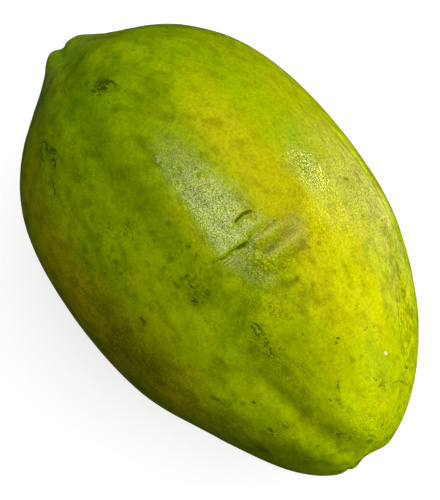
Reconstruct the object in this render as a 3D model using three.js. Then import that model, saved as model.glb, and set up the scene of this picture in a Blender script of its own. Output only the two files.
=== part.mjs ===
// A whole papaya lying on its side: one solid, in millimetres, +Z up.
// X runs along the fruit, from the stem end (-X) to the blossom end (+X), and the fruit rests on Z = 0.
import * as THREE from "three";
import { mergeVertices } from "three/addons/utils/BufferGeometryUtils.js";

const { degToRad, smoothstep } = THREE.MathUtils;

// Half outline from the stem scar to the tip, as
// [distance along the fruit from its middle, radius of the ring there, sideways shift of its centre].
// A shift is towards +Y. The blossom end is blunt, and its tip sits off the middle line.
const STEM_END = [[-106.5, 0, 0], [-107.3, 4, 0], [-111.2, 6.2, 0], [-111.8, 10, 0], [-109, 14.4, 0]];
const BODY = [
  [-100, 25, 0.4],
  [-88, 40.6, 1],
  [-70, 56, 0.4],
  [-46, 65.8, 0],
  [-18, 69.4, 0],
  [10, 68.7, -0.2],
  [36, 64.2, -0.4],
  [58, 55.8, -0.6],
  [78, 45.2, -2],
  [91, 35.8, -3.8],
];
const BLOSSOM_END = [[100.5, 24.8, -5.6], [106, 14.6, -7], [105.9, 8, -10.6], [107.6, 4, -12], [108.2, 0, -12.4]];

// Five grooves run from end to end. Angles are measured from +Z towards +Y.
const GROOVES = [-24, 50, 122, -167, -97].map(degToRad);
const GROOVE_WIDTH = degToRad(17); // half the width of the valley between two ribs
const GROOVE_SHARE = { stem: 0.16, middle: 0.008, blossom: 0.12 }; // depth as a share of the radius
const STEM_GROOVE_SPAN = [-108, -86]; // full depth at the first station, faded out at the second
const BLOSSOM_GROOVE_SPAN = [25, 98]; // faded in from the first station, full depth at the second

const REST_DEPTH = 1.2; // how much of the underside is pressed flat where the fruit rests
const RINGS = 44;
const SIDES = 80;

// The rings as (radius, distance along, shift) down a smooth curve. The mirrored half makes the curve
// cross the axis square at both ends.
function rings() {
  const half = [...STEM_END, ...BODY, ...BLOSSOM_END];
  const mirrored = half.slice(1, -1).reverse().map(([x, radius, shift]) => [x, -radius, shift]);
  const loop = [...half, ...mirrored].map(([x, radius, shift]) => new THREE.Vector3(radius, x, shift));
  const curve = new THREE.CatmullRomCurve3(loop, true, "centripetal");
  const share = (half.length - 1) / loop.length;
  const points = [];
  for (let i = 0; i <= RINGS; i++) points.push(curve.getPoint((share * i) / RINGS));
  points[0].x = 0;
  points[RINGS].x = 0;
  return points;
}

// How deep the grooves are at a station, as a share of the radius there.
function grooveShare(x) {
  const stem = 1 - smoothstep(x, ...STEM_GROOVE_SPAN);
  const blossom = smoothstep(x, ...BLOSSOM_GROOVE_SPAN);
  const { middle } = GROOVE_SHARE;
  return middle + (GROOVE_SHARE.stem - middle) * stem + (GROOVE_SHARE.blossom - middle) * blossom;
}

// 1 in the bottom of a groove, and close to 0 on the crest of a rib.
function inGroove(angle) {
  return GROOVES.reduce((sum, groove) => {
    const away = Math.abs(Math.atan2(Math.sin(angle - groove), Math.cos(angle - groove)));
    return sum + Math.exp(-((away / GROOVE_WIDTH) ** 2));
  }, 0);
}

function papayaGeometry() {
  const outline = rings();
  const geometry = new THREE.LatheGeometry(outline, SIDES);
  geometry.rotateZ(-Math.PI / 2);
  const position = geometry.getAttribute("position");
  const p = new THREE.Vector3();
  for (let i = 0; i < position.count; i++) {
    p.fromBufferAttribute(position, i);
    const angle = Math.atan2(p.y, p.z);
    const radius = Math.hypot(p.y, p.z) * (1 - grooveShare(p.x) * inGroove(angle));
    const shift = outline[i % outline.length].z;
    position.setXYZ(i, p.x, radius * Math.sin(angle) + shift, radius * Math.cos(angle));
  }
  return geometry;
}

// Sets the geometry on Z = 0 with its underside pressed flat, and its box centred over the origin.
function setDown(geometry) {
  geometry.computeBoundingBox();
  const { min } = geometry.boundingBox;
  geometry.translate(0, 0, -min.z - REST_DEPTH);
  const position = geometry.getAttribute("position");
  for (let i = 0; i < position.count; i++) position.setZ(i, Math.max(position.getZ(i), 0));
  geometry.computeBoundingBox();
  const middle = geometry.boundingBox.getCenter(new THREE.Vector3());
  geometry.translate(-middle.x, -middle.y, 0);
}

const geometry = papayaGeometry();
setDown(geometry);
geometry.deleteAttribute("normal");
geometry.deleteAttribute("uv");

const skin = new THREE.MeshStandardMaterial({ color: 0x8fa010, roughness: 0.38, metalness: 0 });
const papaya = new THREE.Mesh(mergeVertices(geometry, 1e-3), skin);
papaya.name = "papaya";

const part = new THREE.Group();
part.add(papaya);
export default part;
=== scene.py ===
"""A ripening papaya, lying on a pale floor.

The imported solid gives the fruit's true form. This script lays a fine rind over it, presses the dents and
scars into that rind, and dresses it in the green and yellow of a fruit that is half ripe.

Places on the fruit are given as a station in millimetres along it (+X, towards the blossom end) and an
angle in degrees around it, from straight up (+Z) towards +Y.
"""

import logging
import math
from dataclasses import dataclass, field
from enum import Enum

import bpy
import numpy as np
from mathutils import Matrix, Vector, noise
from mathutils.bvhtree import BVHTree


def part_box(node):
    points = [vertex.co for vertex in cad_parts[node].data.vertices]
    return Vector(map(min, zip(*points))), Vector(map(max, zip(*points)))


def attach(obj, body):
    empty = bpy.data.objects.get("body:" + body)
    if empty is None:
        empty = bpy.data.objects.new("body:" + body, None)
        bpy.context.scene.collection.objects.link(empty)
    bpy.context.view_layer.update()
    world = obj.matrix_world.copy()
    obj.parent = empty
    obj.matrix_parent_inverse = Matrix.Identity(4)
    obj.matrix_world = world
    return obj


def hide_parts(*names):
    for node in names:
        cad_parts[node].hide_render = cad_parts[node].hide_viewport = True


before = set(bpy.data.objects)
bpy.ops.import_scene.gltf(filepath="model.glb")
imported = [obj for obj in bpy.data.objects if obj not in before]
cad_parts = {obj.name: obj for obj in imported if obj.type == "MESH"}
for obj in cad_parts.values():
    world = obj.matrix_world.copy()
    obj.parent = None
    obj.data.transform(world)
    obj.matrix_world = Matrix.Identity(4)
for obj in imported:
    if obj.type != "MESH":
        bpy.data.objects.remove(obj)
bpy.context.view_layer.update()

LOG = logging.getLogger("papaya")
MM = 0.001
NODE = "papaya"
BODY = "root"
IMAGE_LONG_SIDE = 500
# A vertex whose weight, or whose share of some waves, is below this is left out.
LEAST_WEIGHT, LEAST_SHARE = 1e-4, 0.01

Place = tuple[float, float]
Places = tuple[np.ndarray, np.ndarray]
Socket = bpy.types.NodeSocket


# ---- Small helpers ----


def linear(colour: str) -> tuple[float, float, float, float]:
    """Turns an sRGB hex colour to linear red, green and blue, with an alpha of 1."""
    channels = [int(colour[i : i + 2], 16) / 255 for i in (1, 3, 5)]
    return (*(c / 12.92 if c <= 0.04045 else ((c + 0.055) / 1.055) ** 2.4 for c in channels), 1.0)


def smoothstep(value: np.ndarray, low: float, high: float) -> np.ndarray:
    """Rises smoothly from 0 at low to 1 at high."""
    share = np.clip((value - low) / (high - low), 0.0, 1.0)
    return share * share * (3.0 - 2.0 * share)


def bell(distance: np.ndarray, reach: float | np.ndarray) -> np.ndarray:
    """Falls softly from 1 at no distance, to about a third at the reach."""
    return np.exp(-((distance / reach) ** 2))


def make_active(piece: bpy.types.Object) -> None:
    """Selects one object alone and makes it the active one.

    Args:
        piece: the object.
    """
    bpy.ops.object.select_all(action="DESELECT")
    piece.select_set(True)
    bpy.context.view_layer.objects.active = piece


def apply_modifier(piece: bpy.types.Object, kind: str, **settings: object) -> None:
    """Adds a modifier to a piece and applies it at once.

    Args:
        piece: the piece to change.
        kind: the modifier's type, such as SUBSURF.
        settings: the modifier's own settings.
    """
    make_active(piece)
    modifier = piece.modifiers.new(kind.lower(), kind)
    for name, value in settings.items():
        setattr(modifier, name, value)
    bpy.ops.object.modifier_apply(modifier=modifier.name)


def vectors(items: bpy.types.bpy_prop_collection, name: str) -> np.ndarray:
    """Reads a vector from each of a mesh's items.

    Args:
        items: the vertices, the faces or the normals.
        name: the name that they have for the vector.

    Returns:
        The vectors as an array of rows.
    """
    values = np.empty(len(items) * 3, np.float32)
    items.foreach_get(name, values)
    return values.reshape(-1, 3).astype(float)


def write_group(piece: bpy.types.Object, name: str, weights: np.ndarray) -> None:
    """Stores a vertex group, leaving out the vertices whose weight is next to nothing.

    Args:
        piece: the piece that the vertices belong to.
        name: the group's name.
        weights: the weight of each vertex, from 0 to 1.
    """
    group = piece.vertex_groups.new(name=name)
    for index in np.flatnonzero(weights > LEAST_WEIGHT):
        group.add([int(index)], float(weights[index]), "REPLACE")


# ---- Blemishes: where they are and what they do to the rind ----


@dataclass(frozen=True)
class Cut:
    """How a kind of mark shapes and stains the rind across its line.

    Attributes:
        near: width of the slope on the side of the line nearer the stem end, in millimetres.
        far: width of the slope on the side nearer the blossom end, in millimetres.
        press: how deep the line is pressed in, in millimetres, or how high it stands if below zero.
        lip: height of the raised edge on the near side, in millimetres.
        cork_and_cut_shadow: how far the line is painted dark, from 0 to 1: dark scar tissue along cracks,
            scabs, specks and wrinkles, and painted shadow inside nail marks, slits and gashes.
        bruise: how far it is bruised, from 0 to 1.
        pale: how far it is painted pale, from 0 to 1: bleached skin, and on raised welts and flaps also a
            painted highlight.
        painted_glint: how far it is painted with a white glint, from 0 to 1: a painted highlight on a small
            raised bump.
        grain: how grainy the skin is beside it, from 0 to 1.
        shade: how much lighter, above zero, or darker the skin is along it.
        stain_width: half width of all of these, in millimetres.
    """

    near: float
    far: float
    press: float
    lip: float = 0.0
    cork_and_cut_shadow: float = 0.0
    bruise: float = 0.0
    pale: float = 0.0
    painted_glint: float = 0.0
    grain: float = 0.0
    # shade: how much lighter, above zero, or darker the skin is painted along it: painted shade in creases,
    # furrows, hollows and pleats, and painted light along a ridge.
    shade: float = 0.0
    stain_width: float = 0.5

    @property
    def widest(self) -> float:
        """The wider of its two slopes."""
        return max(self.near, self.far)


class Blemish(Enum):
    """The kinds of mark on the rind."""

    # The dark line of a nail mark, slit or gash is partly scar tissue and partly painted shadow inside the
    # cut.
    NAIL_MARK = Cut(near=0.4, far=2.4, press=0.95, lip=0.15, cork_and_cut_shadow=0.95, stain_width=0.58)
    # Flaps and welts are painted pale: partly bleached skin, partly a painted highlight on their raised
    # edges.
    FLAP = Cut(near=0.6, far=1.8, press=-0.35, pale=0.5, stain_width=0.7)
    SLIT = Cut(near=0.4, far=0.8, press=0.45, lip=0.08, cork_and_cut_shadow=0.9, stain_width=0.42)
    GASH = Cut(near=0.7, far=0.9, press=0.5, cork_and_cut_shadow=0.95, stain_width=0.75)
    FIBRE = Cut(near=0.35, far=0.35, press=-0.2, pale=0.9, stain_width=0.35)
    # Shade below zero on a furrow, hollow, crease or pleat is painted shade in its groove; above zero on a
    # ridge it is painted light.
    FURROW = Cut(near=1.3, far=1.5, press=0.8, bruise=0.8, shade=-0.22, stain_width=1.4)
    WELT = Cut(near=1.6, far=1.3, press=-0.4, pale=0.6, stain_width=1.4)
    HOLLOW = Cut(near=1.8, far=2.2, press=0.45, bruise=0.3, shade=-0.42, stain_width=1.5)
    CRACK = Cut(near=0.35, far=0.45, press=0.2, lip=0.1, cork_and_cut_shadow=0.62, grain=0.8, stain_width=0.45)
    WRINKLE = Cut(near=0.4, far=0.6, press=0.2, lip=0.1, cork_and_cut_shadow=0.38, grain=0.5, stain_width=0.42)
    SCAB = Cut(near=1.3, far=1.3, press=-0.2, cork_and_cut_shadow=0.8, grain=0.6, stain_width=1.4)
    SPECK = Cut(near=0.5, far=0.5, press=0.1, cork_and_cut_shadow=0.6, stain_width=0.7)
    # Pimples and the larger bump after them carry painted white glints: painted highlights on their tops.
    PIMPLE = Cut(near=0.5, far=0.5, press=-0.18, painted_glint=0.55, stain_width=0.36)
    DROP = Cut(near=0.7, far=0.7, press=-0.25, painted_glint=1.0, stain_width=0.62)
    WART = Cut(near=1.1, far=1.1, press=-0.3, pale=0.3, stain_width=1.0)
    CREASE = Cut(near=4.0, far=4.0, press=0.7, shade=-0.2, stain_width=3.4)
    RIDGE = Cut(near=4.6, far=4.4, press=-0.3, shade=0.04, stain_width=3.6)
    PLEAT = Cut(near=2.4, far=2.4, press=0.4, shade=-0.22, stain_width=2.2)


@dataclass(frozen=True)
class Mark:
    """One mark: its kind, how strong it is beside its kind, and the places its line runs through."""

    kind: Blemish
    strength: float
    route: tuple[Place, ...]


# Each mark's strength and route. A thumb and fingers pressed the rind a third of the way from the blossom
# end. Cork gathers near the stem end, and the groove towards the tip has a ridge beside it.
STROKES = {
    Blemish.NAIL_MARK: (
        (1, (12.9, -2.9), (12.2, -1.6), (11.8, 0.1), (11.8, 1.9), (12.3, 3.4), (13, 4)),
    ),
    Blemish.FLAP: (
        (1, (13, -1.8), (12.8, 0.7), (13.2, 3)),
    ),
    Blemish.CRACK: (
        (0.35, (15, -1.8), (14.5, -0.4), (14.5, 1)), (0.6, (21.9, -14), (22.1, -12), (22.3, -9.8)),
        (0.4, (23.3, -12.8), (23.5, -10.2)),
        (1.2, (-69.3, -10), (-69.6, -8), (-67.9, -5.9), (-65.8, -4.7), (-63.1, -4.4), (-61, -4.4)),
        (1.2, (-67.3, -11), (-65.1, -10.7), (-64.2, -9.2), (-63.2, -7.3)),
        (1, (-68.5, -13.8), (-66.5, -12.5), (-65.2, -11.4)),
        (1, (-64.2, -13.1), (-63.8, -11.7), (-62.5, -10.7)),
        (0.8, (-68.6, -11.8), (-67.4, -10.2), (-67.7, -8.6)),
        (1, (-66.9, -46.4), (-67.4, -44.6), (-66, -43), (-63.6, -42.2), (-61.8, -43.4)),
        (0.8, (-66.4, -47), (-64.6, -47.6), (-62.8, -46.8)),
        (1.2, (-61, -41.6), (-59.5, -40), (-58.2, -38.6)),
        (1, (-57.6, -43.8), (-55.4, -40.6), (-53, -42), (-53.4, -43.8)),
        (1, (-50, -46.4), (-47, -46.8), (-44, -48)), (0.6, (-81.2, -25.2), (-78.1, -24.7), (-75.2, -25)),
        (0.5, (-15, -29), (-12.6, -30.4), (-11.2, -32.8)), (0.5, (-12.6, -30.4), (-9.8, -30.6)),
        (0.5, (12.6, -18.4), (14.2, -19.8), (13.4, -21.8)),
        (0.6, (15.4, -24.2), (16.8, -25.8), (15.6, -27.2), (17.4, -28.8)),
        (0.8, (18.2, -26.2), (20.4, -26.8), (22.4, -26)),
        (0.9, (44.6, -19.4), (46.4, -18.2), (48.2, -18.8), (50.4, -18.2)),
        (0.8, (47.2, -20.2), (49.6, -21.2)),
        (0.6, (54.6, -22), (56.4, -21), (57.6, -22.4), (59.4, -21.2), (61.4, -21)),
        (0.8, (79.4, -43.9), (80.4, -44.9), (81.4, -44.2), (81.5, -42.3)),
        (0.8, (77.2, -50.2), (78.6, -49.8), (79.5, -51.2)), (0.8, (79.8, -6.8), (81.4, -8.4), (82.9, -9.9)),
        (0.6, (95.9, -28.6), (96.4, -26.2), (96.6, -23.6)),
        (0.4, (93.3, -13.2), (93.5, -16.6), (93.2, -20)), (0.8, (100.7, -19.3), (101.2, -18), (101, -16.9)),
        (0.8, (102.4, -14.4), (103.2, -14.2), (103.5, -12.6), (102.9, -11.4)),
        (0.45, (97.5, -2.8), (98.5, -2.4), (98.8, -4.3), (97.8, -5), (97.4, -3.2)),
        (0.7, (89.6, 12.2), (91, 12.6), (91.2, 14.8), (92.8, 17.3)),
        (0.7, (92.6, 21.6), (93, 28), (93.2, 36), (94, 44), (95.4, 52), (97.6, 60)),
        (0.7, (81.8, 58.6), (83.6, 58.2), (85.2, 58.8)), (0.6, (41, 62.9), (43.6, 62.6), (46.4, 61.9)),
        (1, (-38, 104), (-35.6, 106.6), (-33, 105.4), (-31.4, 107.8)),
        (0.9, (12, 128), (14.4, 130.4), (17.2, 129.6)), (0.9, (64, -112), (66.6, -110.2), (68.8, -112.6)),
        (0.9, (-52, -104), (-49.4, -106.6), (-46.8, -105.2)),
    ),
    Blemish.SLIT: (
        (0.45, (19, -17.7), (19.5, -15.6), (19.8, -13.3), (20.2, -10.3)),
        (0.7, (20.1, -14), (20.4, -12.5), (20.4, -10.9), (20.5, -9.4)),
        (0.9, (20.2, -10.3), (20.2, -8.3), (20.6, -5.7), (20.8, -3.4), (20.8, -1.6)),
    ),
    Blemish.GASH: (
        (1, (20.4, -7.4), (20.9, -5.9), (21.2, -4.5), (21.2, -3.1)),
    ),
    Blemish.FIBRE: (
        (0.9, (21.2, -14.2), (21.4, -12.5), (21.6, -10.6)), (1, (22.4, -13.8), (22.6, -12), (22.9, -10.2)),
        (0.6, (21.9, -8), (22.3, -5.6)), (0.4, (-67, -9), (-66.4, -8.4)),
        (0.4, (-65.1, -8.3), (-64.7, -7.7)), (0.4, (77.6, -51.6), (79.2, -52.4)),
        (0.8, (104.4, 26), (104, 29)), (0.7, (102.3, 17.6), (102.6, 19.6)), (0.7, (47.4, 54.4), (49, 55.2)),
    ),
    Blemish.FURROW: (
        (0.5, (20.8, -2.6), (20.6, 0.9), (20.7, 3.5), (20, 7.2)),
        (0.9, (25.8, -2.4), (26, 1.2), (26.2, 4.6), (26.1, 8.2), (25.9, 12)),
        (0.9, (33, 1.4), (33.6, 4.4), (33.9, 7.2), (33.7, 9.5), (33, 13)),
    ),
    Blemish.WELT: (
        (1, (22, -1.6), (22.6, 1.6), (22.5, 5.2), (22.6, 8.3), (22.9, 11.6)),
        (0.95, (29.9, -2.4), (30.2, 1.6), (30.1, 5.5), (29.7, 9.6), (28.9, 14.4)),
        (0.8, (36, -6.6), (36.4, -4.6), (36.8, -2.8)),
    ),
    Blemish.HOLLOW: (
        (0.6, (27.8, -1), (27.9, 1.6), (28.2, 4.2)), (0.6, (34.2, -3.6), (36, -2)),
        (0.9, (41.8, -2.1), (42.5, 0), (42.6, 2.2), (42.2, 3.9)),
    ),
    Blemish.WRINKLE: (
        (1, (28.4, -4.6), (30.4, -4), (32, -3.4), (33.6, -2.4)),
        (1, (29.8, -2.2), (31.4, -1.4), (33.2, -0.8), (35, -0.2)),
        (1, (31, -4.8), (32.6, -4.6), (34, -5.4)),
        (1.2, (33.6, -1.9), (34.6, 0.7), (34.9, 2.8), (36.1, 4.8)),
        (1, (35.6, -1), (36.4, 1.3), (37.2, 3.3), (37.4, 5.8)),
        (0.8, (37.6, -0.4), (38.4, 1.9), (38.6, 3.6)), (0.9, (37.3, 6.2), (38.5, 7.2), (38.6, 9)),
        (0.8, (36, 8.6), (36.8, 10.8), (36.6, 12.6)), (0.7, (24.6, -6.6), (26.6, -7), (28, -6)),
    ),
    Blemish.SCAB: (
        (0.9, (-68.5, -9.2), (-67.3, -7.3), (-65.7, -5.8), (-63.8, -5)),
        (0.8, (-66.5, -9.9), (-65, -8.7), (-64.2, -7.1)),
        (0.9, (-67.4, -7.4), (-66.2, -6.6), (-64.4, -5.8)), (0.6, (16.4, -48.2), (18.2, -48.1)),
        (0.6, (25, -28.8), (26.2, -28.4)), (0.6, (75.2, 64.8), (76.2, 65.6)),
        (0.7, (46, 112), (48.2, 113.6)),
    ),
    Blemish.SPECK: (
        (1.1, (-60.6, -47.2), (-59.8, -46.8)), (0.6, (-89.9, -4.7), (-89, -4.1)),
        (1, (-8, -31.6), (-7.4, -31.8)), (1, (-16.4, -52), (-14.6, -52.4)), (1, (14.6, -30), (16.2, -29.8)),
        (1.1, (37.6, -72), (38.6, -71.8)), (0.9, (56.2, -53.2), (58, -52.8)),
        (1.1, (66.4, -43.6), (67.2, -43)), (0.9, (86.2, -55), (86.8, -54.6)),
        (0.8, (89.9, -51.4), (90.4, -50.6)), (0.8, (94.2, -44.8), (94.7, -44.2)),
        (0.9, (68, 3.6), (68.4, 4.4)), (0.8, (69, 1.8), (69.4, 2.4)), (0.9, (83.6, -16.5), (84, -16.3)),
        (1, (95.2, -30.5), (95.5, -29.4)), (0.8, (103, 3.6), (103, 4.8)), (0.7, (87.4, 11), (88.2, 12.4)),
        (1.1, (90.6, 52), (91, 53.2)), (0.8, (85.8, 6.8), (86, 7.4)), (1.1, (19.8, 43.8), (20.6, 44.8)),
        (1, (-4, 96), (-3.2, 96.4)), (1, (8, -98), (9, -98.4)),
    ),
    Blemish.PLEAT: (
        (0.7, (76, -64), (80.4, -66.8), (85.9, -71.1)),
        (0.9, (-92, -4), (-88.6, -11), (-86, -20), (-84, -28)), (0.8, (-97, -40), (-93, -43), (-88, -46)),
        (0.7, (-104, 10), (-96, 16), (-88, 20)),
    ),
    Blemish.CREASE: (
        (1, (54, -31), (62, -32.2), (70, -33), (80, -34), (90, -36.6), (99, -41)),
        (0.45, (36.5, 51), (45.9, 53.8), (55.5, 58), (66.9, 56), (80, 55)),
        (0.5, (58, 121), (80, 122), (98, 124)), (0.6, (60, -97), (82, -98), (99, -99)),
    ),
    Blemish.RIDGE: (
        (1, (60, -38), (70, -40), (80, -42), (90, -45.6), (98, -48), (104.5, -52)),
    ),
    Blemish.WART: (
        (1, (-25.6, -10.4), (-25.2, -10.2)), (1, (-9.2, -2), (-9, -1.8)), (0.7, (-22, 19.1), (-21.9, 19.4)),
    ),
    Blemish.PIMPLE: (
        (1.1, (-26.4, -9.2), (-25.6, -8.6)), (1, (-22.6, -9.8), (-22.4, -9.6)),
        (1.2, (-18.8, -7), (-18.6, -6.8)), (1.4, (-9.6, -1.6), (-9, -1.2)),
        (1.2, (-11.2, -7.4), (-11, -7.2)), (1, (-12.6, -8.6), (-12.4, -8.4)),
        (0.9, (-12.7, -1.8), (-12.5, -1.6)), (0.9, (-4, -3), (-3.8, -2.8)),
        (1, (-15.4, -5.6), (-15.2, -5.4)), (0.9, (-4.7, -10.3), (-4.5, -10.1)),
    ),
    # A small raised bump with a painted white glint on it.
    Blemish.DROP: (
        (1, (82.3, 24.4), (82.7, 24.9)),
    ),
}
MARKS = [
    Mark(kind, strength, tuple(route)) for kind, strokes in STROKES.items() for strength, *route in strokes
]


@dataclass(frozen=True)
class Patch:
    """A soft patch on the rind.

    Attributes:
        station: where its middle is along the fruit, in millimetres.
        angle: where its middle is around the fruit, in degrees.
        length: how far it reaches along the fruit, in millimetres.
        width: how far it reaches around the fruit, in degrees.
        amount: what it adds in its middle.
    """

    station: float
    angle: float
    length: float
    width: float
    amount: float

    def over(self, places: Places) -> np.ndarray:
        """What the patch adds at each place.

        Args:
            places: the stations and the angles.

        Returns:
            The amounts.
        """
        station, angle = places
        turn = (angle - self.angle + 180.0) % 360.0 - 180.0
        return self.amount * bell(station - self.station, self.length) * bell(turn, self.width)


def patches(*rows: tuple[float, float, float, float, float]) -> tuple[Patch, ...]:
    """Makes patches from rows of station, angle, length, width and amount."""
    return tuple(Patch(*row) for row in rows)


def added(group: tuple[Patch, ...], places: Places) -> np.ndarray:
    """What a group of patches adds at each place."""
    return sum((patch.over(places) for patch in group), np.zeros(len(places[0])))


# The ripeness at the stem end, how much riper the blossom end is, and the stations between which it rises.
RIPENESS_AT_STEM, RIPENESS_GAIN, RIPENING_SPAN = 0.31, 0.28, (-75.0, 20.0)
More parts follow.
